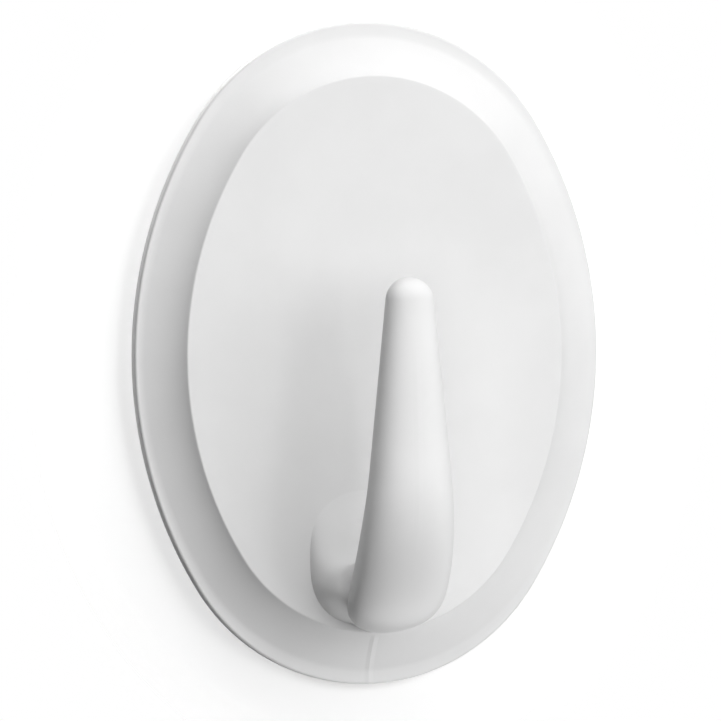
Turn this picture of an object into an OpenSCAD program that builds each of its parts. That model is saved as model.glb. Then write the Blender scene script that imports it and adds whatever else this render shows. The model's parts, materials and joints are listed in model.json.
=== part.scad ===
// Adhesive wall hook: an oval moulded plate with a J-shaped prong, stuck up by a foam pad.
// The wall is the XZ plane, +Z is up and the front of the hook faces -Y.
// The origin is the middle of the face that lies against the wall.

/* [Plate] */
// Width of the oval plate
plate_w = 55; // [52:0.5:64]
// Height of the oval plate
plate_h = 75; // [70:0.5:86]
// Half the angle that each side arc of the oval turns through, in degrees
oval_angle = 32; // [25:1:40]
// Thickness of the plate along its rim
rim_t = 1.5; // [1.3:0.1:2.2]
// Chamfer along the rim's front edge
rim_chamfer = 0.3; // [0.1:0.05:0.5]
// Gap between the rim and the wall
rim_gap = 0.6; // [0.4:0.05:0.9]

/* [Raised face] */
// Width of the rim between the plate's outline and the raised face, at the sides
rim_side_w = 5.3; // [4.5:0.1:7]
// Width of the rim between the plate's outline and the raised face, at the top and bottom
rim_end_w = 6.1; // [4.8:0.1:8]
// Flat part of the rim outside the cove, at the sides
rim_flat_w = 0.6; // [0.55:0.05:1.5]
// Height of the raised face in front of the rim
face_rise = 2.85; // [1.5:0.05:4]
// Slope of the cove where it meets the rim, in degrees
cove_foot_slope = 10; // [5:1:20]

/* [Prong] */
// Distance of the prong's axis in front of the raised face
prong_reach = 11.7; // [10.5:0.1:13.5]
// Height of the prong's tip above the top of the bend
prong_h = 23.1; // [18:0.1:30]
// Length of the rounded tip
tip_l = 2.9; // [2:0.1:4]
// Width of the prong at its rounded tip
tip_w = 5.5; // [4:0.1:7]
// Depth of the prong at its rounded tip
tip_d = 4.7; // [3.4:0.1:6]
// Width of the prong at the top of the bend
prong_w = 9.3; // [8:0.1:10]
// Depth of the prong at the top of the bend
prong_d = 8.5; // [7:0.1:9]
// Width of the bend at its widest
bend_w = 10.3; // [10:0.1:12]

/* [Arm and root] */
// Distance from the plate's lower edge up to the underside of the arm
arm_edge = 6.4; // [5.5:0.1:9]
// Depth of the arm below the bottom of the throat
neck_d = 8.4; // [7:0.1:9.5]
// Width of the arm below the bottom of the throat
neck_w = 9.5; // [8:0.1:10]
// Height of the throat's rounded bottom
throat_h = 8.8; // [7:0.1:10]
// Distance of the throat's lowest point in front of the raised face
throat_out = 3.5; // [2.8:0.1:4.2]
// Distance of the arm's heel in front of the raised face
heel_out = 2.2; // [1.5:0.1:3]
// Width of the flared root on the raised face
root_w = 15.6; // [13:0.1:18]
// Rise of the root's upper fillet above the throat's lowest point
root_fillet_h = 9.4; // [6:0.1:11]
// Squareness of the root's outline, where 2 is an ellipse
root_squareness = 4; // [2.5:0.1:5]
// Squareness of the arm's section below the throat
neck_squareness = 2.4; // [2:0.1:3]

/* [Adhesive pad] */
// Width of the lip round the recess behind the plate
lip_w = 3.2; // [2.5:0.1:5]
// Gap between the pad's edge and the recess
pad_clearance = 0.5; // [0.3:0.1:1]
// Thickness of the foam core
foam_t = 1.5; // [1:0.1:2]
// Thickness of each adhesive film
film_t = 0.1; // [0.08:0.01:0.15]
// Thickness of the release liner
liner_t = 0.15; // [0.1:0.01:0.2]
// Width of the liner's finger tab
tab_w = 14; // [8:0.5:20]
// Length of the finger tab below the pad
tab_l = 3; // [1.5:0.1:3]

/* [Hidden] */

// Distances from the wall
wall_film_out = liner_t;
foam_out = wall_film_out + film_t;
plate_film_out = foam_out + foam_t;
floor_out = plate_film_out + film_t;
rim_front_out = rim_gap + rim_t;
face_out = rim_front_out + face_rise;

// Raised face and the cove round it
face_half_w = plate_w / 2 - rim_side_w;
face_half_h = plate_h / 2 - rim_end_w;
cove_w = rim_side_w - rim_flat_w;
cove_top_slope = 2 * atan(face_rise / cove_w) - cove_foot_slope;
cove_r = cove_w / (sin(cove_top_slope) - sin(cove_foot_slope));

// Pad and liner
pad_inset = lip_w + pad_clearance;

// Places along the hook, in distance from the wall and height
prong_out = face_out + prong_reach;
arm_bottom_z = arm_edge - plate_h / 2;
throat = [face_out + throat_out, arm_bottom_z + neck_d];
heel = [face_out + heel_out, arm_bottom_z];
bend_z = throat[1] + throat_h;
root_top_z = throat[1] + root_fillet_h;
tip_base_z = bend_z + prong_h - tip_l;

// Sides and rings of the plate
side_steps = 20;
end_steps = 28;
cove_rings = 10;

// Rings of the hook
section_sides = 32;
root_rings = 8;
bend_rings = 14;
prong_rings = 6;
tip_angles = [15, 30, 45, 60, 75, 87];
root_bury = 2;
root_start_angle = 12;
bend_widest = 0.47;

function mix(a, b, share) = a + (b - a) * share;

function steps(from, to, count) = [for (i = [0 : count - 1]) mix(from, to, i / count)];

// Directions in which the points of an oval face, from its right side upwards and round
oval_normals = [
    for (half_turn = [0, 180])
        each concat(
            steps(half_turn - oval_angle, half_turn + oval_angle, side_steps),
            steps(half_turn + oval_angle, half_turn + 180 - oval_angle, end_steps)
        )
];

// Points of an oval of four arcs, each arc tangent to the next
function oval_points(half_w, half_h) =
    let (
        spread = (half_h - half_w) / (cos(oval_angle) + sin(oval_angle) - 1),
        end_r = half_w - (1 - cos(oval_angle)) * spread
    )
    [
        for (i = [0 : len(oval_normals) - 1])
            let (
                facing = [cos(oval_normals[i]), sin(oval_normals[i])],
                on_side = i % (side_steps + end_steps) < side_steps,
                centre = spread * (on_side
                    ? [-sign(facing[0]) * cos(oval_angle), 0]
                    : [0, sign(facing[1]) * sin(oval_angle)])
            )
            centre + (on_side ? end_r + spread : end_r) * facing
    ];

// Ring of a plate, set in from an oval's half-width and half-height, at a distance from the wall
function plate_ring(half_w, half_h, inset, out) =
    [for (p = oval_points(half_w - inset, half_h - inset)) [p[0], p[1], out]];

function cove_ring(share) =
    let (slope = mix(cove_foot_slope, cove_top_slope, share))
    plate_ring(
        face_half_w, face_half_h,
        cove_r * (sin(slope) - sin(cove_top_slope)),
        face_out + cove_r * (cos(cove_top_slope) - cos(slope))
    );

// From the recess's floor round the rim and up the cove to the raised face
plate_rings = concat(
    [
        plate_ring(plate_w / 2, plate_h / 2, lip_w, floor_out),
        plate_ring(plate_w / 2, plate_h / 2, lip_w, rim_gap),
        plate_ring(plate_w / 2, plate_h / 2, 0, rim_gap),
        plate_ring(plate_w / 2, plate_h / 2, 0, rim_front_out - rim_chamfer),
        plate_ring(plate_w / 2, plate_h / 2, rim_chamfer, rim_front_out)
    ],
    [for (i = [0 : cove_rings]) cove_ring(i / cove_rings)]
);

// Cosine or sine of an angle, raised so that a ring of them runs from an ellipse to a rounded rectangle
function squared(value, squareness) = sign(value) * pow(abs(value), 2 / squareness);

// A station is the ring's point on the throat side, its point on the front, its half-width and its squareness
function root_station(angle) =
    let (share = (angle - root_start_angle) / (90 - root_start_angle))
    [
        [mix(throat[0], face_out, cos(angle)), mix(root_top_z, throat[1], sin(angle))],
        [mix(face_out, heel[0], share), heel[1]],
        mix(neck_w, root_w, cos(angle)) / 2,
        mix(root_squareness, neck_squareness, share)
    ];

// Quarter of an ellipse from the arm up to the prong
function bend_point(from, prong_face_out, share) =
    [mix(from[0], prong_face_out, sin(90 * share)), mix(bend_z, from[1], cos(90 * share))];

function bend_station(share) =
    let (
        narrow_w = share < bend_widest ? neck_w : prong_w,
        away = share < bend_widest ? 1 - share / bend_widest : (share - bend_widest) / (1 - bend_widest)
    )
    [
        bend_point(throat, prong_out - prong_d / 2, share),
        bend_point(heel, prong_out + prong_d / 2, share),
        mix(bend_w, narrow_w, away * away) / 2,
        mix(neck_squareness, 2, share)
    ];

function prong_station(z, w, d) = [[prong_out - d / 2, z], [prong_out + d / 2, z], w / 2, 2];

function buried(station) =
    [for (i = [0 : 1]) [face_out - root_bury, station[i][1]], station[2], station[3]];

root_stations = [for (i = [0 : root_rings - 1]) root_station(mix(root_start_angle, 90, i / root_rings))];
bend_stations = [for (i = [0 : bend_rings]) bend_station(i / bend_rings)];
prong_stations = [
    for (i = [1 : prong_rings])
        let (share = i / prong_rings)
        prong_station(mix(bend_z, tip_base_z, share), mix(prong_w, tip_w, share), mix(prong_d, tip_d, share))
];
tip_stations = [
    for (a = tip_angles) prong_station(tip_base_z + tip_l * sin(a), tip_w * cos(a), tip_d * cos(a))
];
stations = concat([buried(root_stations[0])], root_stations, bend_stations, prong_stations, tip_stations);

// Ring of a station, in width, height and distance from the wall
function ring(station) =
    let (middle = (station[0] + station[1]) / 2, half = (station[1] - station[0]) / 2)
    [
        for (i = [0 : section_sides - 1])
            let (a = 360 * i / section_sides, p = middle + half * squared(cos(a), station[3]))
            [station[2] * squared(sin(a), station[3]), p[1], p[0]]
    ];

// Faces of a tube of rings, closed at both ends
function tube_faces(rings, sides) = concat(
    [[for (i = [0 : sides - 1]) i]],
    [
        for (r = [0 : rings - 2], i = [0 : sides - 1])
            let (a = r * sides + i, b = r * sides + (i + 1) % sides)
            each [[a, a + sides, b], [b, a + sides, b + sides]]
    ],
    [[for (i = [sides - 1 : -1 : 0]) (rings - 1) * sides + i]]
);

module tube(rings) {
    polyhedron(points = [for (r = rings) each r], faces = tube_faces(len(rings), len(rings[0])));
}

// Flat oval sheet, set in from the plate's outline
module oval_sheet(inset, thickness) {
    linear_extrude(thickness)
        polygon(oval_points(plate_w / 2 - inset, plate_h / 2 - inset));
}

// Turns a shape laid flat on the wall upright, with its height along +Z
module on_wall() {
    rotate([90, 0, 0]) children();
}

module pad_layer(from, thickness) {
    on_wall() translate([0, 0, from]) oval_sheet(pad_inset, thickness);
}

module hook_moulding() {
    color("white") on_wall() {
        tube(plate_rings);
        tube([for (s = stations) ring(s)]);
    }
}

module plate_adhesive() {
    color("ivory") pad_layer(plate_film_out, film_t);
}

module foam_core() {
    color("whitesmoke") pad_layer(foam_out, foam_t);
}

module wall_adhesive() {
    color("ivory") pad_layer(wall_film_out, film_t);
}

module release_liner() {
    color("khaki") {
        pad_layer(0, liner_t);
        on_wall() intersection() {
            oval_sheet(pad_inset - tab_l, liner_t);
            translate([-tab_w / 2, -plate_h, 0])
                cube([tab_w, plate_h, liner_t]);
        }
    }
}

hook_moulding();
plate_adhesive();
foam_core();
wall_adhesive();
release_liner();
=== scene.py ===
"""Adhesive wall hook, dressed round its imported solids.

Places are given in millimetres as a maker would measure them on the wall: across (x), out from the
wall (out) and up (z). The front of the hook faces -Y.
"""

import json
import logging
import math
from abc import ABC, abstractmethod
from collections.abc import Callable, Iterator, Sequence
from dataclasses import dataclass, field, replace
from enum import Enum, IntEnum
from typing import Any

import bmesh
import bpy
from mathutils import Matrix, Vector

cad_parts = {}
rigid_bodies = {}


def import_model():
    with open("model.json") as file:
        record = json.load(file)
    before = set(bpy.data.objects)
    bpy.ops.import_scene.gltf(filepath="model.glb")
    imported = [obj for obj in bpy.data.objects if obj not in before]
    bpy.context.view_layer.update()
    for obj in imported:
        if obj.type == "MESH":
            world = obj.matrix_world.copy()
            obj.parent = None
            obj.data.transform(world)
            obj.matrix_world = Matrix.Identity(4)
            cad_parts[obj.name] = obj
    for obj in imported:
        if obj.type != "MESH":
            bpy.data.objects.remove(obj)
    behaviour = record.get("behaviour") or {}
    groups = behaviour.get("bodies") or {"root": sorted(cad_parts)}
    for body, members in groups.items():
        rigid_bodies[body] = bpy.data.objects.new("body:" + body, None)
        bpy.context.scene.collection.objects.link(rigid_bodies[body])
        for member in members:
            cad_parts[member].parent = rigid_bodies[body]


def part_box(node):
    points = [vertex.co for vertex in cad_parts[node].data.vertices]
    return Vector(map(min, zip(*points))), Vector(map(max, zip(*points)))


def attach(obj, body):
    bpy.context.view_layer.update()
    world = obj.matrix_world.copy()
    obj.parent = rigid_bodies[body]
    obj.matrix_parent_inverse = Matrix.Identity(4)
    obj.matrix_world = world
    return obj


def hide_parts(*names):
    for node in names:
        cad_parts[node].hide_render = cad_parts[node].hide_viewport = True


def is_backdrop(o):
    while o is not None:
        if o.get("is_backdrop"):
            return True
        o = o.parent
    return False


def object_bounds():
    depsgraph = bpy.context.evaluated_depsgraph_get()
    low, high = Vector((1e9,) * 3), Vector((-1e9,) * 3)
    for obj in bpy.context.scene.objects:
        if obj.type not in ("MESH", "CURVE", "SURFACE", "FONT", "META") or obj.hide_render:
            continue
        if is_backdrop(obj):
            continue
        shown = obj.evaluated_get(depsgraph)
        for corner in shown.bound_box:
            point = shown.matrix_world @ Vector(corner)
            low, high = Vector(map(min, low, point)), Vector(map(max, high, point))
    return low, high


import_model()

Pair = tuple[float, float]
Spot = tuple[float, float, float]
Colour = tuple[float, float, float]

# Metres in a millimetre.
MM = 0.001
# Vertices closer than this are merged, in metres.
TOUCH = 1e-6
# Places closer than this count as one, in millimetres.
NEAR = 0.002
# Decimals of a millimetre to which the frame's places are taken.
DECIMALS = 3
# Degrees in a quarter turn.
QUARTER = 90.0
# Bevel profile of a round edge.
ROUND = 0.5
# Mean of the noise, and the band of it over which a colour changes.
NOISE_MEAN = 0.5
NOISE_BAND: Pair = (0.3, 0.7)
# How far the raised face stands out from the wall, in millimetres.
FACE_OUT = 4.95
ORIGIN: Spot = (0.0, 0.0, 0.0)
WHITE = (1.0, 1.0, 1.0, 1.0)

log = logging.getLogger("wall_hook")


class Body(Enum):
    """Bodies that the pieces ride on."""

    HOOK = "hook"
    LINER = "liner"


class Slot(Enum):
    """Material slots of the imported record."""

    PLASTIC = "white_plastic"
    ADHESIVE = "adhesive_film"
    FOAM = "foam"
    PAPER = "liner_paper"


class Node(Enum):
    """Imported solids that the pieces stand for."""

    MOULDING = "hook_moulding"
    PLATE_FILM = "plate_adhesive"
    FOAM = "foam_core"
    WALL_FILM = "wall_adhesive"
    LINER = "release_liner"


class ColourMix(IntEnum):
    """Numbers of the Mix node's sockets for colours, which share their names with other sockets."""

    FACTOR = 0
    RESULT = 2
    FIRST = 6
    SECOND = 7


def place(x: float, out: float, z: float) -> Vector:
    """Returns the scene point of a place measured on the wall."""
    return Vector((x, -out, z)) * MM


def bearing(azimuth: float, elevation: float) -> Vector:
    """Returns the unit vector from the hook towards an azimuth and elevation in degrees."""
    turn, rise = math.radians(azimuth), math.radians(elevation)
    return Vector((math.sin(turn) * math.cos(rise), -math.cos(turn) * math.cos(rise), math.sin(rise)))


def mix(a: float, b: float, share: float) -> float:
    """Returns the value that lies a share of the way from a to b."""
    return a + (b - a) * share


def soften(a: float, b: float, c: float) -> float:
    """Returns the middle one of three values, drawn towards its neighbours."""
    return (a + 2 * b + c) / 4


def shares(count: int) -> list[float]:
    """Returns count + 1 even shares from 0 to 1."""
    return [i / count for i in range(count + 1)]


class Wire:
    """An output socket of a node, whose arithmetic adds Math nodes."""

    def __init__(self, board: "Board", node: bpy.types.Node, output: str | int) -> None:
        """Wraps one output of a node.

        Args:
            board: The board that the node is on.
            node: The node.
            output: The output's name or number.
        """
        self.board = board
        self.node = node
        self.output = output

    @property
    def socket(self) -> bpy.types.NodeSocket:
        """Returns the socket that is wrapped."""
        return self.node.outputs[self.output]

    def other(self, output: str) -> "Wire":
        """Returns another output of the same node."""
        return Wire(self.board, self.node, output)

    def _maths(self, operation: str, a: "Wire | float", b: "Wire | float") -> "Wire":
        """Adds one Math node and returns its result."""
        return self.board.node("ShaderNodeMath", {"operation": operation}, {0: a, 1: b})

    def __add__(self, value: "Wire | float") -> "Wire":
        """Returns the sum."""
        return self._maths("ADD", self, value)

    __radd__ = __add__

    def __sub__(self, value: "Wire | float") -> "Wire":
        """Returns the difference."""
        return self._maths("SUBTRACT", self, value)

    def __rsub__(self, value: float) -> "Wire":
        """Returns the difference from a number."""
        return self._maths("SUBTRACT", value, self)

    def __mul__(self, value: "Wire | float") -> "Wire":
        """Returns the product."""
        return self._maths("MULTIPLY", self, value)

    __rmul__ = __mul__

    def __truediv__(self, value: "Wire | float") -> "Wire":
        """Returns the quotient."""
        return self._maths("DIVIDE", self, value)

    def __rtruediv__(self, value: float) -> "Wire":
        """Returns a number's quotient by this value."""
        return self._maths("DIVIDE", value, self)

    def __pow__(self, value: "Wire | float") -> "Wire":
        """Returns the power."""
        return self._maths("POWER", self, value)

    def __rpow__(self, value: float) -> "Wire":
        """Returns a number's power by this value."""
        return self._maths("POWER", value, self)

    def __abs__(self) -> "Wire":
        """Returns the size without its sign."""
        return self._maths("ABSOLUTE", self, 0.0)

    def at_least(self, value: "Wire | float") -> "Wire":
        """Returns the larger of two values."""
        return self._maths("MAXIMUM", self, value)

    def ramp(self, low: float, high: float) -> "Wire":
        """Returns a soft step from 0 at low to 1 at high."""
        sockets = {"Value": self, "From Min": low, "From Max": high}
        return self.board.node("ShaderNodeMapRange", {"interpolation_type": "SMOOTHSTEP"}, sockets)


class Board:
    """A node tree that is wired up from Python."""

    def __init__(self, tree: bpy.types.NodeTree) -> None:
        """Clears the tree."""
        self.tree = tree
        tree.nodes.clear()

    def node(
        self,
        kind: str,
        settings: dict[str, Any] | None = None,
        sockets: dict[str | int, Any] | None = None,
        output: str | int = 0,
    ) -> Wire:
        """Adds one node.

        Args:
            kind: The node's type.
            settings: Properties of the node, set before its sockets.
            sockets: Values or wires for its inputs, by name or number.
            output: The output that is returned, by name or number.

        Returns:
            The chosen output.
        """
        made = self.tree.nodes.new(kind)
        for name, value in (settings or {}).items():
            setattr(made, name, value)
        for name, value in (sockets or {}).items():
            if isinstance(value, Wire):
                self.tree.links.new(value.socket, made.inputs[name])
            else:
                made.inputs[name].default_value = value
        return Wire(self, made, output)

    def end(self, kind: str, surface: Wire) -> None:
        """Ends the tree of a material or world with its output node."""
        self.node(kind, sockets={"Surface": surface})

    def spot(self) -> Wire:
        """Returns the object's own coordinates, in millimetres."""
        coordinates = self.node("ShaderNodeTexCoord", output="Object")
        return self.node("ShaderNodeVectorMath", {"operation": "SCALE"}, {0: coordinates, "Scale": 1 / MM})

    def axes(self, spot: Wire) -> tuple[Wire, Wire, Wire]:
        """Returns a place's distances across, out from the wall and up."""
        across = self.node("ShaderNodeSeparateXYZ", sockets={0: spot})
        return across, 0.0 - across.other("Y"), across.other("Z")

    def stretched(self, spot: Wire, scale: Spot) -> Wire:
        """Returns coordinates scaled along each axis."""
        return self.node("ShaderNodeMapping", {"vector_type": "POINT"}, {"Vector": spot, "Scale": scale})

    def grain(self, spot: Wire, per_mm: float, detail: float = 2.0, roughness: float = 0.5) -> Wire:
        """Returns noise from about 0 to 1.

        Args:
            spot: Coordinates in millimetres.
            per_mm: Waves to the millimetre.
            detail: Octaves of finer noise.
            roughness: Share of the finer noise.

        Returns:
            The noise.
        """
        sockets = {"Vector": spot, "Scale": per_mm, "Detail": detail, "Roughness": roughness}
        return self.node("ShaderNodeTexNoise", sockets=sockets)

    def blend(self, factor: Wire, a: Colour, b: Colour) -> Wire:
        """Returns the colour between two colours."""
        sockets = {ColourMix.FACTOR: factor, ColourMix.FIRST: (*a, 1.0), ColourMix.SECOND: (*b, 1.0)}
        return self.node("ShaderNodeMix", {"data_type": "RGBA"}, sockets, ColourMix.RESULT)

    def relief(self, height_mm: Wire) -> Wire:
        """Returns the normal of a surface with heights in millimetres."""
        sockets = {"Height": height_mm, "Strength": 1.0, "Distance": MM}
        return self.node("ShaderNodeBump", sockets=sockets, output="Normal")


@dataclass(frozen=True)
class Finish(ABC):
    """A finish that one Principled shader gives, patterned on the object's own coordinates.

    Of the fields of a pattern, per_mm gives its waves to the millimetre, roughness how far it changes
    the shader's roughness, h its height in millimetres and share its part in the colour.
    """

    name: str

    @abstractmethod
    def sockets(self, board: Board, spot: Wire) -> dict[str, Any]:
        """Wires up what the shader takes.

        Args:
            board: The material's board.
            spot: The object's own coordinates, in millimetres.

        Returns:
            The values or wires of the shader's inputs, by name.
        """

    def material(self) -> bpy.types.Material:
        """Makes the finish's material.

        Returns:
            The new material.
        """
        material = bpy.data.materials.new(self.name)
        material.use_nodes = True
        board = Board(material.node_tree)
        surface = board.node("ShaderNodeBsdfPrincipled", sockets=self.sockets(board, board.spot()))
        board.end("ShaderNodeOutputMaterial", surface)
        return material


@dataclass(frozen=True)
class SatinPlastic(Finish):
    """White moulded plastic with a satin skin and a faint parting line down the hook."""

    name: str = "satin_white_plastic"
    pale: Colour = (0.84, 0.84, 0.84)
    deep: Colour = (0.81, 0.81, 0.81)
    roughness: float = 0.5
    ior: float = 1.46
    flow_per_mm: float = 0.09
    flow_roughness: float = 0.06
    skin_per_mm: float = 2.6
    skin_roughness: float = 0.08
    skin_h: float = 0.004
    line_half_w: float = 0.5
    prong_line_h: float = 0.012
    prong_line_out: Pair = (9.0, 12.0)
    prong_line_start: Pair = (-25.0, -17.0)
    prong_line_end: Pair = (-2.0, 4.0)
    heel_line_h: float = 0.06
    heel_line_start: Pair = (-32.5, -31.5)

    def sockets(self, board: Board, spot: Wire) -> dict[str, Any]:
        """Wires up the plastic, clouded by its flow and fine-grained in its skin.

        Args:
            board: The material's board.
            spot: The object's own coordinates, in millimetres.

        Returns:
            The values or wires of the shader's inputs, by name.
        """
        flow = board.grain(spot, self.flow_per_mm, detail=3.0)
        skin = board.grain(spot, self.skin_per_mm, detail=3.0, roughness=0.6)
        skin_change = self.skin_roughness * (skin - NOISE_MEAN)
        flow_change = self.flow_roughness * (flow - NOISE_MEAN)
        return {
            "Base Color": board.blend(flow.ramp(*NOISE_BAND), self.deep, self.pale),
            "Roughness": self.roughness + skin_change + flow_change,
            "IOR": self.ior,
            "Normal": board.relief(self.skin_h * skin + self.parting_line(board, spot)),
        }

    def parting_line(self, board: Board, spot: Wire) -> Wire:
        """Raises the ridge where the mould's halves met.

        Args:
            board: The material's board.
            spot: The object's own coordinates, in millimetres.

        Returns:
            The ridge's height, in millimetres.
        """
        x, out, z = board.axes(spot)
        ridge = (1.0 - abs(x) / self.line_half_w).at_least(0.0)
        above_start = out.ramp(*self.prong_line_out) * z.ramp(*self.prong_line_start)
        on_prong = above_start * (1.0 - z.ramp(*self.prong_line_end))
        under_heel = 1.0 - z.ramp(*self.heel_line_start)
        return ridge * (self.prong_line_h * on_prong + self.heel_line_h * under_heel)


@dataclass(frozen=True)
class TackyFilm(Finish):
    """Clear acrylic adhesive over white foam."""

    name: str = "tacky_adhesive_film"
    pale: Colour = (0.80, 0.78, 0.70)
    deep: Colour = (0.72, 0.69, 0.59)
    roughness: float = 0.18
    ior: float = 1.47
    coat: float = 0.4
    coat_roughness: float = 0.08
    puddle_per_mm: float = 0.35
    puddle_roughness: float = 0.12
    puddle_h: float = 0.02
    pull_per_mm: float = 0.6
    pull_stretch: Spot = (3.0, 1.0, 0.4)
    pull_h: float = 0.012

    def sockets(self, board: Board, spot: Wire) -> dict[str, Any]:
        """Wires up the adhesive, puddled and drawn out along its coating.

        Args:
            board: The material's board.
            spot: The object's own coordinates, in millimetres.

        Returns:
            The values or wires of the shader's inputs, by name.
        """
        puddle = board.grain(spot, self.puddle_per_mm, detail=3.0, roughness=0.55)
        pull = board.grain(board.stretched(spot, self.pull_stretch), self.pull_per_mm)
        return {
            "Base Color": board.blend(puddle.ramp(*NOISE_BAND), self.deep, self.pale),
            "Roughness": self.roughness + self.puddle_roughness * puddle,
            "IOR": self.ior,
            "Coat Weight": self.coat,
            "Coat Roughness": self.coat_roughness,
            "Normal": board.relief(self.puddle_h * puddle + self.pull_h * pull),
        }


@dataclass(frozen=True)
class CellFoam(Finish):
    """Closed-cell foam with the cut cells of its edge, their pits darkened by painted shade."""

    name: str = "closed_cell_foam"
    pale: Colour = (0.80, 0.80, 0.78)
    deep: Colour = (0.62, 0.62, 0.59)
    roughness: float = 0.82
    ior: float = 1.4
    cell_per_mm: float = 4.5
    cell_band: Pair = (0.1, 0.55)
    pit_painted_shade: float = 0.7
    pit_depth: float = 0.06
    cloud_per_mm: float = 0.5
    cloud_share: float = 0.3
    cloud_roughness: float = 0.1

    def sockets(self, board: Board, spot: Wire) -> dict[str, Any]:
        """Wires up the foam, pitted by its cells, with painted shade darkening the pits.

        Args:
            board: The material's board.
            spot: The object's own coordinates, in millimetres.

        Returns:
            The values or wires of the shader's inputs, by name.
        """
        cells = {"Vector": spot, "Scale": self.cell_per_mm, "Randomness": 1.0}
        cell = board.node("ShaderNodeTexVoronoi", {"feature": "F1"}, cells, "Distance")
        pit = 1.0 - cell.ramp(*self.cell_band)
        cloud = board.grain(spot, self.cloud_per_mm)
        # Painted shade darkens the pits of the cells; the clouds add a random tone.
        tone = self.pit_painted_shade * pit + self.cloud_share * cloud
        return {
            "Base Color": board.blend(tone, self.pale, self.deep),
            "Roughness": self.roughness + self.cloud_roughness * cloud,
            "IOR": self.ior,
            "Normal": board.relief(-self.pit_depth * pit),
        }


@dataclass(frozen=True)
class GlassinePaper(Finish):
    """Siliconised paper: smooth, a little glossy, clouded by its fibres."""

    name: str = "glassine_liner_paper"
    pale: Colour = (0.88, 0.83, 0.70)
    deep: Colour = (0.80, 0.74, 0.58)
    roughness: float = 0.36
    ior: float = 1.45
    cloud_per_mm: float = 0.7
    cloud_share: float = 0.6
    fibre_per_mm: float = 1.3
    fibre_stretch: Spot = (1.0, 1.0, 7.0)
    fibre_share: float = 0.4
    fibre_roughness: float = 0.14
    fibre_h: float = 0.006
    cockle_per_mm: float = 0.12
    cockle_h: float = 0.02

    def sockets(self, board: Board, spot: Wire) -> dict[str, Any]:
        """Wires up the paper, clouded, fibrous and a little cockled.

        Args:
            board: The material's board.
            spot: The object's own coordinates, in millimetres.

        Returns:
            The values or wires of the shader's inputs, by name.
        """
        cloud = board.grain(spot, self.cloud_per_mm, detail=4.0, roughness=0.6)
        along = board.stretched(spot, self.fibre_stretch)
        fibre = board.grain(along, self.fibre_per_mm, detail=3.0, roughness=0.6)
        cockle = board.grain(spot, self.cockle_per_mm, detail=1.0)
        tone = self.cloud_share * cloud + self.fibre_share * fibre
        return {
            "Base Color": board.blend(tone.ramp(*NOISE_BAND), self.deep, self.pale),
            "Roughness": self.roughness + self.fibre_roughness * (fibre - NOISE_MEAN),
            "IOR": self.ior,
            "Normal": board.relief(self.fibre_h * fibre + self.cockle_h * cockle),
        }


@dataclass(frozen=True)
class Oval:
    """An oval of four arcs, each tangent to the next, in millimetres."""

    half_w: float
    half_h: float
    side_angle: float = 32.0
    side_steps: int = 48
    end_steps: int = 64

    @property
    def spread(self) -> float:
        """Returns the distance between the centres of neighbouring arcs."""
        turn = math.radians(self.side_angle)
        return (self.half_h - self.half_w) / (math.cos(turn) + math.sin(turn) - 1)

    @property
    def end_r(self) -> float:
        """Returns the radius of the upper and lower arcs."""
        return self.half_w - (1 - math.cos(math.radians(self.side_angle))) * self.spread

    @property
    def side_centre(self) -> float:
        """Returns how far across the centre of each side arc lies."""
        return self.spread * math.cos(math.radians(self.side_angle))

    @property
    def end_centre(self) -> float:
        """Returns how far up or down the centre of each end arc lies."""
        return self.spread * math.sin(math.radians(self.side_angle))

    def start(self, inset: float, out: float) -> Vector:
        """Returns where a chain starts, at the lower end of the right side arc.

        Args:
            inset: Distance in from the oval.
            out: Distance out from the wall.

        Returns:
            The point, in the scene.
        """
        turn = math.radians(self.side_angle)
        radius = self.end_r + self.spread - inset
        return place(radius * math.cos(turn) - self.side_centre, out, -radius * math.sin(turn))

    def arcs(self) -> Iterator[tuple[Vector, float, int]]:
        """Goes round the arcs, from the right side upwards.

        Yields:
            The centre, turn and steps of each arc.
        """
        side = math.radians(2 * self.side_angle)
        end = math.radians(2 * (QUARTER - self.side_angle))
        for way in (1, -1):
            yield place(-way * self.side_centre, 0, 0), side, self.side_steps
            yield place(0, 0, way * self.end_centre), end, self.end_steps

    def depth(self, x: float, z: float) -> float:
        """Returns how far a point near the oval lies inside it.

        Args:
            x: The point's distance across.
            z: The point's height.

        Returns:
            The depth, below 0 outside the oval.
        """
        across, up = abs(x) + self.side_centre, abs(z)
        if math.degrees(math.atan2(up, across)) <= self.side_angle:
            return self.end_r + self.spread - math.hypot(across, up)
        return self.end_r - math.hypot(x, up - self.end_centre)


def packed_outline(node: Node) -> Oval:
    """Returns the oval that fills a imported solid's box across and up."""
    _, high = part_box(node.value)
    return Oval(round(high.x / MM, DECIMALS), round(high.z / MM, DECIMALS))


def packed_span(node: Node) -> Pair:
    """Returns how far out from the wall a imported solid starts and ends."""
    low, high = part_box(node.value)
    return round(-high.y / MM, DECIMALS), round(-low.y / MM, DECIMALS)


PLATE_OUTLINE = packed_outline(Node.MOULDING)
PAD_OUTLINE = packed_outline(Node.FOAM)


@dataclass(frozen=True)
class Station:
    """One section of the hook: its throat-side and front points (out, z), half-width and squareness.

    The crown is the share of the section that lies in front of its widest line.
    """

    throat: Pair
    front: Pair
    half_w: float
    squareness: float
    crown: float = 0.5


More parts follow.
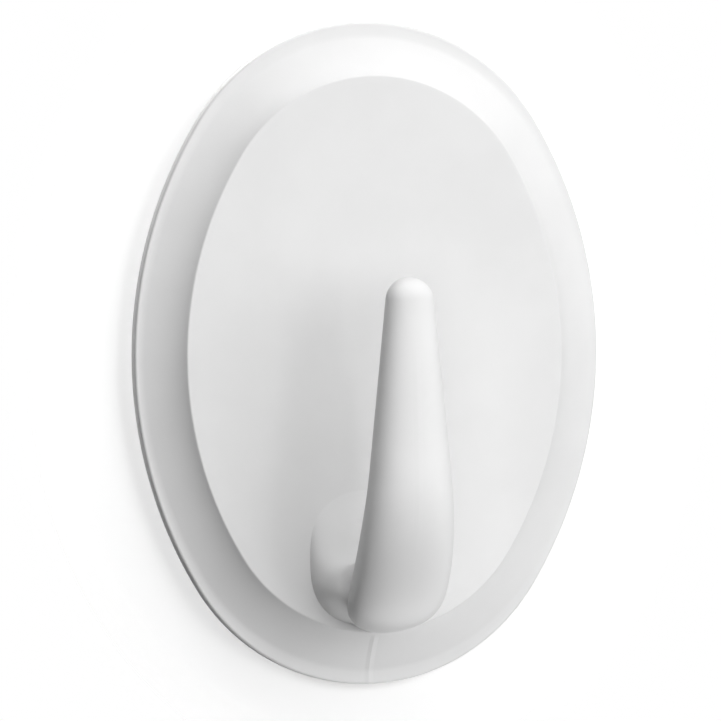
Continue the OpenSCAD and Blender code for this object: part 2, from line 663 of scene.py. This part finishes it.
class Bench:
    """One mesh that is shaped in edit mode by operators."""

    def __init__(self, name: str) -> None:
        """Opens an empty mesh at the origin.

        Args:
            name: The piece's name.
        """
        bpy.ops.object.select_all(action="DESELECT")
        bpy.ops.mesh.primitive_plane_add(size=MM, enter_editmode=True)
        self.piece: bpy.types.Object = bpy.context.object
        self.piece.name = self.piece.data.name = name
        bpy.ops.mesh.delete(type="VERT")

    def chain(self, points: Sequence[Vector]) -> None:
        """Draws a chain of edges and leaves it selected.

        Args:
            points: The points that it goes through, in the scene.
        """
        bpy.ops.mesh.select_all(action="DESELECT")
        bpy.ops.mesh.primitive_plane_add(size=MM, location=points[0])
        bpy.ops.mesh.merge(type="CENTER")
        for here, there in zip(points, points[1:]):
            bpy.ops.mesh.extrude_region_move(TRANSFORM_OT_translate={"value": there - here})
        bpy.ops.mesh.select_linked()

    def sweep(self, oval: Oval, profile: Sequence[Pair]) -> None:
        """Spins a profile once round an oval.

        Args:
            oval: The oval that the profile follows.
            profile: Distances in from the oval and out from the wall.
        """
        self.chain([oval.start(inset, out) for inset, out in profile])
        for centre, turn, steps in oval.arcs():
            bpy.ops.mesh.spin(steps=steps, angle=turn, center=centre, axis=(0, 1, 0))
        bpy.ops.mesh.select_all(action="SELECT")
        bpy.ops.mesh.remove_doubles(threshold=TOUCH)

    def pick(self, wanted: Callable[[float, float, float], bool]) -> None:
        """Selects the vertices at wanted places, and the edges and faces between them.

        Args:
            wanted: Tells from a place's distances across, out and up whether it is wanted.
        """
        bpy.ops.mesh.select_mode(type="VERT")
        bpy.ops.mesh.select_all(action="DESELECT")
        mesh = bmesh.from_edit_mesh(self.piece.data)
        for vertex in mesh.verts:
            x, y, z = vertex.co / MM
            vertex.select_set(wanted(x, -y, z))
        mesh.select_flush(True)
        bmesh.update_edit_mesh(self.piece.data)

    def pick_ring(self, oval: Oval, inset: float, out: float) -> None:
        """Selects the ring at a distance in from an oval and out from the wall."""
        self.pick(lambda x, o, z: abs(o - out) < NEAR and abs(oval.depth(x, z) - inset) < NEAR)

    def cap(self, oval: Oval, inset: float, out: float) -> None:
        """Closes the ring at a distance in from an oval and out from the wall with a face."""
        self.pick_ring(oval, inset, out)
        bpy.ops.mesh.edge_face_add()

    def ring(self, station: Station, sides: int) -> None:
        """Adds one section of the hook as a ring of edges.

        Args:
            station: The section.
            sides: The number of edges.
        """
        out_run, z_run = (b - a for a, b in zip(station.throat, station.front))
        widest = [mix(b, a, station.crown) for a, b in zip(station.throat, station.front)]
        run = math.hypot(out_run, z_run)
        bpy.ops.mesh.select_all(action="DESELECT")
        bpy.ops.mesh.primitive_plane_add(size=2 * MM)
        # A square whose corners are bevelled from edge middle to edge middle is a superellipse.
        bpy.ops.mesh.bevel(
            affect="VERTICES",
            offset_type="PERCENT",
            offset_pct=50,
            segments=sides // 4,
            profile=2 ** (-2 / station.squareness),
            clamp_overlap=False,
        )
        bpy.ops.mesh.remove_doubles(threshold=TOUCH)
        for side, reach in ((1, (1 - station.crown) * run), (-1, station.crown * run)):
            self.pick(lambda x, out, z: abs(z) < NEAR and NEAR < side * out < 1 + NEAR)
            bpy.ops.transform.resize(value=(1, reach, 1), center_override=ORIGIN)
        bpy.ops.mesh.select_linked()
        bpy.ops.transform.resize(value=(station.half_w, 1, 1), center_override=ORIGIN)
        bpy.ops.transform.rotate(
            value=-math.atan2(z_run, -out_run),
            orient_axis="X",
            orient_type="GLOBAL",
            center_override=ORIGIN,
        )
        bpy.ops.transform.translate(value=place(0, *widest))
        bpy.ops.mesh.delete(type="ONLY_FACE")

    def loft(self, stations: Sequence[Station], sides: int = 72) -> None:
        """Bridges sections into a closed shell and leaves edit mode.

        Args:
            stations: The sections, in order.
            sides: The edges of each section.
        """
        for station in stations:
            self.ring(station, sides)
        bpy.ops.mesh.select_all(action="SELECT")
        bpy.ops.mesh.bridge_edge_loops(type="SINGLE")
        bpy.ops.mesh.select_all(action="DESELECT")
        bpy.ops.mesh.select_non_manifold()
        bpy.ops.mesh.edge_face_add()
        self.leave()

    def open(self) -> None:
        """Takes the piece up alone, in edit mode."""
        bpy.ops.object.select_all(action="DESELECT")
        self.piece.select_set(True)
        bpy.context.view_layer.objects.active = self.piece
        bpy.ops.object.mode_set(mode="EDIT")

    def leave(self, inside: bool = False) -> None:
        """Turns the faces one way and leaves edit mode.

        Args:
            inside: Whether they face inwards.
        """
        bpy.ops.mesh.select_all(action="SELECT")
        bpy.ops.mesh.normals_make_consistent(inside=inside)
        bpy.ops.object.mode_set(mode="OBJECT")

    def fuse(self, other: "Bench") -> None:
        """Makes this closed shell and another one a single shell.

        Args:
            other: The bench with the other shell, which is used up.
        """
        for bench, action in ((other, "SELECT"), (self, "DESELECT")):
            bench.open()
            bpy.ops.mesh.select_all(action=action)
            bpy.ops.object.mode_set(mode="OBJECT")
        other.piece.select_set(True)
        bpy.ops.object.join()
        bpy.ops.object.mode_set(mode="EDIT")
        bpy.ops.mesh.intersect_boolean(operation="UNION", solver="EXACT")
        bpy.ops.object.mode_set(mode="OBJECT")

    def round_off(self, width: float, segments: int) -> None:
        """Rounds the selected edges.

        Args:
            width: How far the rounding reaches from each edge.
            segments: The number of its steps.
        """
        bpy.ops.mesh.bevel(
            affect="EDGES",
            offset=width * MM,
            segments=segments,
            profile=ROUND,
            clamp_overlap=False,
        )

    def close(self, smooth_angle: float = 30.0) -> bpy.types.Object:
        """Merges and turns the faces, leaves edit mode and smooths the piece.

        Args:
            smooth_angle: Edges that turn further stay sharp, in degrees.

        Returns:
            The finished piece.
        """
        bpy.ops.mesh.select_all(action="SELECT")
        bpy.ops.mesh.remove_doubles(threshold=TOUCH)
        self.leave()
        bpy.ops.object.shade_smooth_by_angle(angle=math.radians(smooth_angle))
        bpy.ops.object.modifier_add(type="WEIGHTED_NORMAL")
        even = self.piece.modifiers[-1]
        even.mode = "FACE_AREA"
        even.weight = 70
        even.keep_sharp = True
        bpy.ops.object.modifier_apply(modifier=even.name)
        return self.piece


def slab(name: str, outline: Oval, profile: Sequence[Pair]) -> Bench:
    """Spins an edge profile round an outline and closes both faces.

    Args:
        name: The piece's name.
        outline: The outline.
        profile: Distances in from the outline and out from the wall, wall side first.

    Returns:
        The bench, still in edit mode.
    """
    bench = Bench(name)
    bench.sweep(outline, profile)
    for inset, out in (profile[0], profile[-1]):
        bench.cap(outline, inset, out)
    return bench


def dress(piece: bpy.types.Object, finish: Finish, body: Body, node: Node) -> bpy.types.Object:
    """Gives a piece its finish and its place in the frame.

    Args:
        piece: The finished mesh.
        finish: The finish whose material it takes.
        body: The body that it rides on.
        node: The solid that it stands for.

    Returns:
        The same piece.
    """
    piece.data.materials.append(finish.material())
    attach(piece, body.value)
    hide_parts(node.value)
    return piece


@dataclass
class Plate:
    """The oval plate: a thin rim, a cove that climbs from it, and the raised face."""

    outline: Oval = PLATE_OUTLINE
    face: Oval = Oval(22.2, 31.4)
    rim_rear: float = packed_span(Node.MOULDING)[0]
    rim_front: float = 2.1
    face_out: float = FACE_OUT
    floor_out: float = packed_span(Node.PLATE_FILM)[1]
    lip_w: float = 3.2
    cove_w: float = 4.7
    cove_foot_slope: float = 20.0
    cove_top_slope: float = 53.0
    cove_steps: int = 14
    rim_round: float = 0.3
    rear_round: float = 0.15
    lip_round: float = 0.1
    face_round: float = 0.13

    def cove(self) -> Iterator[Pair]:
        """Goes up the cove from its foot, on a curve between its two slopes.

        Yields:
            Distances in from the raised face's outline and out from the wall.
        """
        rise = self.face_out - self.rim_front
        foot, top = (math.tan(math.radians(slope)) for slope in (self.cove_foot_slope, self.cove_top_slope))
        knee_run = (self.cove_w * top - rise) / (top - foot)
        for share in shares(self.cove_steps):
            run = 2 * share * (1 - share) * knee_run + share**2 * self.cove_w
            climb = 2 * share * (1 - share) * knee_run * foot + share**2 * rise
            yield run - self.cove_w, self.rim_front + climb

    def build(self) -> Bench:
        """Builds the closed plate.

        Returns:
            Its bench, out of edit mode.
        """
        bench = Bench("moulding")
        rim = [
            (self.lip_w, self.floor_out),
            (self.lip_w, self.rim_rear),
            (0.0, self.rim_rear),
            (0.0, self.rim_front),
        ]
        bench.sweep(self.outline, rim)
        bench.sweep(self.face, list(self.cove()))
        bench.pick(lambda x, out, z: abs(out - self.rim_front) < NEAR)
        bpy.ops.mesh.bridge_edge_loops()
        bench.cap(self.face, 0.0, self.face_out)
        bench.cap(self.outline, self.lip_w, self.floor_out)
        for oval, inset, out, width, segments in (
            (self.outline, 0.0, self.rim_front, self.rim_round, 5),
            (self.outline, 0.0, self.rim_rear, self.rear_round, 3),
            (self.outline, self.lip_w, self.rim_rear, self.lip_round, 2),
            (self.face, 0.0, self.face_out, self.face_round, 5),
        ):
            bench.pick_ring(oval, inset, out)
            bench.round_off(width, segments)
        bench.leave()
        return bench


@dataclass
class Root:
    """The tongue that flares from the hook into the plate."""

    face_out: float = FACE_OUT
    sink: float = 0.15
    bury: float = 2.0
    throat: Pair = (8.45, -22.7)
    top: float = -12.3
    foot: float = -30.7
    neck_foot: Pair = (8.4, -28.0)
    width: float = 15.8
    neck_w: float = 7.0
    fullness: float = 0.34
    squareness: float = 2.7
    neck_squareness: float = 2.3
    core: Pair = (10.8, -25.6)
    core_h: float = 3.0
    core_w: float = 4.0
    start_angle: float = 5.0
    flare_angle: float = 12.0
    rings: int = 22

    def station(self, angle: float) -> Station:
        """Finds one section of the flare.

        Args:
            angle: Where it lies on the upper fillet, from 0 degrees at the plate to 90 at the neck.

        Returns:
            The section.
        """
        turn = math.radians(angle)
        share = max(0.0, (angle - self.flare_angle) / (QUARTER - self.flare_angle))
        base = self.face_out - self.sink
        return Station(
            (mix(self.throat[0], base, math.cos(turn)), mix(self.top, self.throat[1], math.sin(turn))),
            (mix(base, self.neck_foot[0], share), mix(self.foot, self.neck_foot[1], share)),
            mix(self.neck_w, self.width, math.cos(turn) ** self.fullness) / 2,
            mix(self.squareness, self.neck_squareness, share),
        )

    def build(self) -> Bench:
        """Builds the closed root, from inside the plate to inside the prong.

        Returns:
            Its bench, out of edit mode.
        """
        run = [self.station(mix(self.start_angle, QUARTER, share)) for share in shares(self.rings)]
        sunk = self.face_out - self.bury
        first = replace(run[0], throat=(sunk, run[0].throat[1]), front=(sunk, run[0].front[1]))
        out, z = self.core
        upper, lower = (out, z + self.core_h / 2), (out, z - self.core_h / 2)
        last = Station(upper, lower, self.core_w / 2, self.neck_squareness)
        bench = Bench("root_blank")
        bench.loft([first, *run, last])
        return bench


@dataclass
class Prong:
    """The upright prong, tapered to its tip, and the round heel that leans back to the plate."""

    axis_out: float = 16.3
    bend_z: float = -13.9
    heel_out: float = 7.15
    heel_z: float = -31.25
    lean: float = 0.321
    lean_power: float = 1.2
    heel_round: float = 4.0
    heel_w: float = 10.7
    swell_drop: float = 12.0
    width: float = 9.4
    depth: float = 7.9
    tip_base: float = 6.3
    tip_l: float = 2.65
    tip_w: float = 5.45
    tip_d: float = 4.7
    tip_turn: float = 87.0
    squareness: float = 2.15
    tip_squareness: float = 2.1
    crown: float = 0.36
    heel_crown: float = 0.27
    heel_start: float = 4.0
    heel_rings: int = 44
    prong_rings: int = 26
    tip_rings: int = 12
    ease_passes: int = 16

    def upright(self, z: float, width: float, depth: float, squareness: float) -> Station:
        """Returns a level section on the prong's axis."""
        throat, front = (self.axis_out - depth / 2, z), (self.axis_out + depth / 2, z)
        return Station(throat, front, width / 2, squareness, self.crown)

    def heel(self, angle: float) -> Station:
        """Finds one level section of the heel.

        Args:
            angle: Where it lies on the front curve, from 0 degrees at the foot to 90 at the prong.

        Returns:
            The section.
        """
        turn = math.radians(angle)
        drop = (self.bend_z - self.heel_z) * math.cos(turn)
        level = self.bend_z - drop
        swell = math.sin(math.radians(QUARTER) * min(1.0, drop / self.swell_drop))
        short = max(0.0, 1 - (level - self.heel_z) / self.heel_round)
        rear = self.axis_out - self.depth / 2 - self.lean * drop**self.lean_power
        front = mix(self.heel_out, self.axis_out + self.depth / 2, math.sin(turn))
        width = mix(self.width, self.heel_w, swell) * math.sqrt(1 - short**2)
        crown = mix(self.crown, self.heel_crown, swell)
        return Station((rear, level), (front, level), width / 2, self.squareness, crown)

    def eased(self, run: list[Station]) -> list[Station]:
        """Evens out the sizes of level sections, the two at the ends left as they are.

        Args:
            run: The sections, in order.

        Returns:
            The evened sections.
        """
        for _ in range(self.ease_passes):
            inner = [
                replace(
                    b,
                    throat=(soften(a.throat[0], b.throat[0], c.throat[0]), b.throat[1]),
                    front=(soften(a.front[0], b.front[0], c.front[0]), b.front[1]),
                    half_w=soften(a.half_w, b.half_w, c.half_w),
                )
                for a, b, c in zip(run, run[1:], run[2:])
            ]
            run = [run[0], *inner, run[-1]]
        return run

    def stations(self) -> list[Station]:
        """Lists the sections from the heel to the tip.

        Returns:
            The sections, in order.
        """
        run = [self.heel(mix(self.heel_start, QUARTER, share)) for share in shares(self.heel_rings)]
        run += [
            self.upright(
                mix(self.bend_z, self.tip_base, share),
                mix(self.width, self.tip_w, share),
                mix(self.depth, self.tip_d, share),
                mix(self.squareness, self.tip_squareness, share),
            )
            for share in shares(self.prong_rings)[1:]
        ]
        turns = [math.radians(self.tip_turn * share) for share in shares(self.tip_rings)[1:]]
        return self.eased(run) + [
            self.upright(
                self.tip_base + self.tip_l * math.sin(turn),
                self.tip_w * math.cos(turn),
                self.tip_d * math.cos(turn),
                self.tip_squareness,
            )
            for turn in turns
        ]

    def build(self) -> Bench:
        """Builds the closed prong, its tip drawn to a point.

        Returns:
            Its bench, out of edit mode.
        """
        bench = Bench("prong_blank")
        stations = self.stations()
        bench.loft(stations)
        top = stations[-1].throat[1]
        bench.open()
        bench.pick(lambda x, out, z: z > top - NEAR)
        bpy.ops.mesh.poke(offset=(self.tip_base + self.tip_l - top) * MM)
        bpy.ops.object.mode_set(mode="OBJECT")
        return bench


@dataclass
class Moulding:
    """The one plastic moulding: plate, root and prong in a single shot."""

    plate: Plate = field(default_factory=Plate)
    root: Root = field(default_factory=Root)
    prong: Prong = field(default_factory=Prong)
    finish: SatinPlastic = SatinPlastic()

    def build(self) -> bpy.types.Object:
        """Builds the moulding as one closed mesh.

        Returns:
            The dressed moulding.
        """
        hook = self.prong.build()
        hook.fuse(self.root.build())
        bench = self.plate.build()
        bench.fuse(hook)
        bench.open()
        return dress(bench.close(), self.finish, Body.HOOK, Node.MOULDING)


@dataclass
class Pad:
    """The die-cut foam pad with an adhesive film on each face."""

    outline: Oval = PAD_OUTLINE
    wall_film: Pair = packed_span(Node.WALL_FILM)
    foam: Pair = packed_span(Node.FOAM)
    plate_film: Pair = packed_span(Node.PLATE_FILM)
    film_inset: float = 0.06
    film_steps: int = 4
    cut_waist: float = 0.12
    cut_steps: int = 10
    cut_round: float = 0.05
    foam_finish: CellFoam = CellFoam()
    film_finish: TackyFilm = TackyFilm()

    def build_foam(self) -> bpy.types.Object:
        """Builds the foam, its cut edge bellied between the films.

        Returns:
            The dressed foam.
        """
        profile = [
            (self.cut_waist * (2 * share - 1) ** 2, mix(*self.foam, share))
            for share in shares(self.cut_steps)
        ]
        bench = slab("foam_pad", self.outline, profile)
        for inset, out in (profile[0], profile[-1]):
            bench.pick_ring(self.outline, inset, out)
            bench.round_off(self.cut_round, segments=2)
        piece = dress(bench.close(), self.foam_finish, Body.HOOK, Node.FOAM)
        return piece

    def build_film(self, name: str, span: Pair, node: Node) -> bpy.types.Object:
        """Builds one adhesive film with a softened edge.

        Args:
            name: The piece's name.
            span: Distances out from the wall of its two faces.
            node: The solid that it stands for.

        Returns:
            The dressed film.
        """
        profile = [
            (self.film_inset * abs(math.cos(math.pi * share)), mix(*span, share))
            for share in shares(self.film_steps)
        ]
        bench = slab(name, self.outline, profile)
        return dress(bench.close(), self.film_finish, Body.HOOK, node)

    def build(self) -> list[bpy.types.Object]:
        """Builds the pad.

        Returns:
            Its dressed pieces, plate side first.
        """
        return [
            self.build_film("plate_side_adhesive", self.plate_film, Node.PLATE_FILM),
            self.build_foam(),
            self.build_film("wall_side_adhesive", self.wall_film, Node.WALL_FILM),
        ]


@dataclass
class Liner:
    """The release liner: paper cut to the pad, with a finger tab below it."""

    outline: Oval = PAD_OUTLINE
    thickness: float = packed_span(Node.LINER)[1]
    tab_w: float = 14.0
    tab_l: float = 3.0
    tab_corner: float = 0.6
    finish: GlassinePaper = GlassinePaper()

    def build(self) -> bpy.types.Object:
        """Builds the liner and draws its tab out of the lower edge.

        Returns:
            The dressed liner.
        """
        bench = slab("peel_off_liner", self.outline, [(0.0, 0.0), (0.0, self.thickness)])
        half = self.tab_w / 2
        bench.pick(lambda x, out, z: z < 0 and abs(x) < half and self.outline.depth(x, z) < NEAR)
        bpy.ops.mesh.extrude_region_move(TRANSFORM_OT_translate={"value": place(0, 0, -self.tab_l)})
        # The edge's points stand almost a corner's radius apart, so this strip holds one at each side.
        strip = half - self.tab_corner
        bench.pick(lambda x, out, z: abs(x) > strip and self.outline.depth(x, z) < -self.tab_l / 2)
        bench.round_off(self.tab_corner, segments=6)
        return dress(bench.close(), self.finish, Body.LINER, Node.LINER)


@dataclass(frozen=True)
class StagePaint(Finish):
    """Pale paint of the stage. It glows a little, fades out at its edge and hides nothing from behind."""

    pale: Colour = (0.9, 0.9, 0.9)
    roughness: float = 0.9
    glow: float = 0.25

    def colour(self, board: Board, spot: Wire) -> Wire | tuple[float, ...]:
        """Returns the paint's colour, the same all over."""
        return (*self.pale, 1.0)

    @abstractmethod
    def faded(self, board: Board, spot: Wire) -> Wire:
        """Returns how far the paint has faded out, from 0 to 1."""

    def sockets(self, board: Board, spot: Wire) -> dict[str, Any]:
        """Wires up the paint.

        Args:
            board: The material's board.
            spot: The object's own coordinates, in millimetres.

        Returns:
            The values or wires of the shader's inputs, by name.
        """
        behind = board.node("ShaderNodeNewGeometry", output="Backfacing")
        return {
            "Base Color": self.colour(board, spot),
            "Roughness": self.roughness,
            "Emission Color": WHITE,
            "Emission Strength": self.glow,
            "Alpha": (1.0 - self.faded(board, spot)) * (1.0 - behind),
        }


@dataclass(frozen=True, kw_only=True)
class WallPaint(StagePaint):
    """Matt white paint of the wall, which fades out in step with its oval edge."""

    name: str = "matt_white_wall"
    edge: Oval
    fade: Pair = (0.76, 0.98)

    def faded(self, board: Board, spot: Wire) -> Wire:
        """Returns how far the paint has faded out, from 0 to 1."""
        x, _, z = board.axes(spot)
        return (((x / self.edge.half_w) ** 2.0 + (z / self.edge.half_h) ** 2.0) ** 0.5).ramp(*self.fade)


@dataclass(frozen=True, kw_only=True)
class FloorPaint(StagePaint):
    """Pale, faintly clouded paint of the floor, which fades out all round."""

    name: str = "pale_studio_floor"
    deep: Colour = (0.86, 0.86, 0.86)
    roughness: float = 0.8
    cloud_per_mm: float = 0.02
    fade: Pair

    def colour(self, board: Board, spot: Wire) -> Wire:
        """Returns the paint's clouded colour."""
        return board.blend(board.grain(spot, self.cloud_per_mm), self.deep, self.pale)

    def faded(self, board: Board, spot: Wire) -> Wire:
        """Returns how far the paint has faded out, from 0 to 1."""
        x, out, _ = board.axes(spot)
        return ((x**2.0 + out**2.0) ** 0.5).ramp(*self.fade)


def set_stage(piece: bpy.types.Object, paint: StagePaint) -> None:
    """Paints a part of the stage and keeps it from tinting the hook or blocking the lights.

    Args:
        piece: The part of the stage.
        paint: The paint whose material it takes.
    """
    piece.data.materials.append(paint.material())
    piece.visible_diffuse = piece.visible_glossy = piece.visible_shadow = False
    piece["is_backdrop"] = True


@dataclass
class Wall:
    """The patch of wall that takes the hook's soft shadow and fades out round it."""

    gap: float = 0.3
    margin: float = 16.0
    rings: int = 6

    def build(self) -> None:
        """Adds the wall a little behind the liner, facing the room."""
        edge = Oval(PLATE_OUTLINE.half_w + self.margin, PLATE_OUTLINE.half_h + self.margin)
        bench = Bench("wall_patch")
        bench.sweep(edge, [(self.margin * (1 - share), -self.gap) for share in shares(self.rings)])
        bench.cap(edge, self.margin, -self.gap)
        bench.leave(inside=True)
        set_stage(bench.piece, WallPaint(edge=edge))


@dataclass
class Floor:
    """The pale round floor, far below the hook."""

    z: float = -150.0
    radius: float = 380.0
    sides: int = 96
    rim_share: float = 0.4
    fade_shares: Pair = (0.45, 0.95)

    def build(self) -> None:
        """Adds the floor as a disc inside a rim."""
        bench = Bench("studio_floor")
        bpy.ops.mesh.primitive_circle_add(
            vertices=self.sides,
            radius=self.radius * MM,
            fill_type="NGON",
            location=place(0, 0, self.z),
        )
        bpy.ops.mesh.inset(thickness=self.radius * MM * self.rim_share)
        bpy.ops.object.mode_set(mode="OBJECT")
        start, end = self.fade_shares
        set_stage(bench.piece, FloorPaint(fade=(self.radius * start, self.radius * end)))


@dataclass(frozen=True)
class Softbox:
    """A square soft light aimed at the hook, its power in watts and its size and distance in metres."""

    name: str
    azimuth: float
    elevation: float
    power: float
    size: float = 0.4
    distance: float = 0.6

    def build(self) -> None:
        """Places the light."""
        way = bearing(self.azimuth, self.elevation)
        lamp = bpy.data.lights.new(self.name, "AREA")
        lamp.shape = "SQUARE"
        lamp.size = self.size
        lamp.energy = self.power
        light = bpy.data.objects.new(self.name, lamp)
        light.location = way * self.distance
        light.rotation_euler = way.to_track_quat("Z", "Y").to_euler()
        bpy.context.scene.collection.objects.link(light)


@dataclass
class Studio:
    """Camera, soft lights, white surround, a patch of wall behind the hook and a pale floor below it."""

    azimuth: float = -18.0
    elevation: float = 2.0
    distance: float = 700.0
    picture_w: float = 721.0
    pixels_per_mm: float = 8.83
    aim_out: float = 1.4
    aim_right: float = -0.713
    aim_up: float = -0.793
    sensor: float = 36.0
    near_clip: float = 10.0
    lights: tuple[Softbox, ...] = (
        Softbox("camera_side_softbox", -18, 5, 1.0),
        Softbox("front_softbox", 15, 5, 1.05),
        Softbox("key_softbox", 45, 40, 0.75),
        Softbox("right_softbox", 45, 5, 1.15),
        Softbox("high_left_softbox", -30, 60, 0.35),
        Softbox("high_right_softbox", 75, 60, 0.25),
        Softbox("overhead_softbox", 0, 80, 1.6),
        Softbox("low_right_softbox", 80, -30, 0.35),
        Softbox("low_rear_softbox", 120, -65, 1.8),
        Softbox("left_rear_softbox", -110, 5, 0.2),
        Softbox("high_back_softbox", 172, 35, 2.2),
        Softbox("level_back_softbox", -172, 5, 1.6),
    )
    wall: Wall = field(default_factory=Wall)
    floor: Floor = field(default_factory=Floor)

    def build_camera(self) -> None:
        """Sets the camera at the photograph's viewing angle."""
        back = bearing(self.azimuth, self.elevation)
        right = bearing(self.azimuth + QUARTER, 0)
        up = back.cross(right)
        aim = place(0, self.aim_out, 0) + (right * self.aim_right + up * self.aim_up) * MM
        lens = bpy.data.cameras.new("camera")
        lens.sensor_width = self.sensor
        lens.lens = self.pixels_per_mm * self.distance / self.picture_w * self.sensor
        lens.clip_start = self.near_clip * MM
        camera = bpy.data.objects.new("camera", lens)
        camera.location = aim + back * self.distance * MM
        camera.rotation_euler = back.to_track_quat("Z", "Y").to_euler()
        bpy.context.scene.collection.objects.link(camera)
        bpy.context.scene.camera = camera

    def build_surround(self) -> None:
        """Shows the camera a white surround that lights nothing."""
        world = bpy.data.worlds.new("white_surround")
        world.use_nodes = True
        bpy.context.scene.world = world
        bpy.context.scene.view_settings.view_transform = "Standard"
        board = Board(world.node_tree)
        seen = board.node("ShaderNodeLightPath", output="Is Camera Ray")
        dark = board.node("ShaderNodeBackground", sockets={"Color": WHITE, "Strength": 0.0})
        white = board.node("ShaderNodeBackground", sockets={"Color": WHITE, "Strength": 1.0})
        shown = board.node("ShaderNodeMixShader", sockets={0: seen, 1: dark, 2: white})
        board.end("ShaderNodeOutputWorld", shown)

    def build(self) -> None:
        """Sets the whole studio."""
        self.build_camera()
        self.build_surround()
        for light in self.lights:
            light.build()
        self.wall.build()
        self.floor.build()
        log.info("studio: %d soft lights", len(self.lights))


def main() -> None:
    """Builds the hook piece by piece."""
    logging.basicConfig(level=logging.INFO, format="%(name)s: %(message)s")
    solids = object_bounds()
    pieces = [Moulding().build(), *Pad().build(), Liner().build()]
    for piece in pieces:
        log.info("%s: %d faces of %s", piece.name, len(piece.data.polygons), piece.active_material.name)
    Studio().build()
    boxes = {"cad": solids, "visual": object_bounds()}
    for name, box in boxes.items():
        log.info("%s box: %s", name, [[round(v / MM, DECIMALS) for v in corner] for corner in box])


if __name__ == "__main__":
    main()
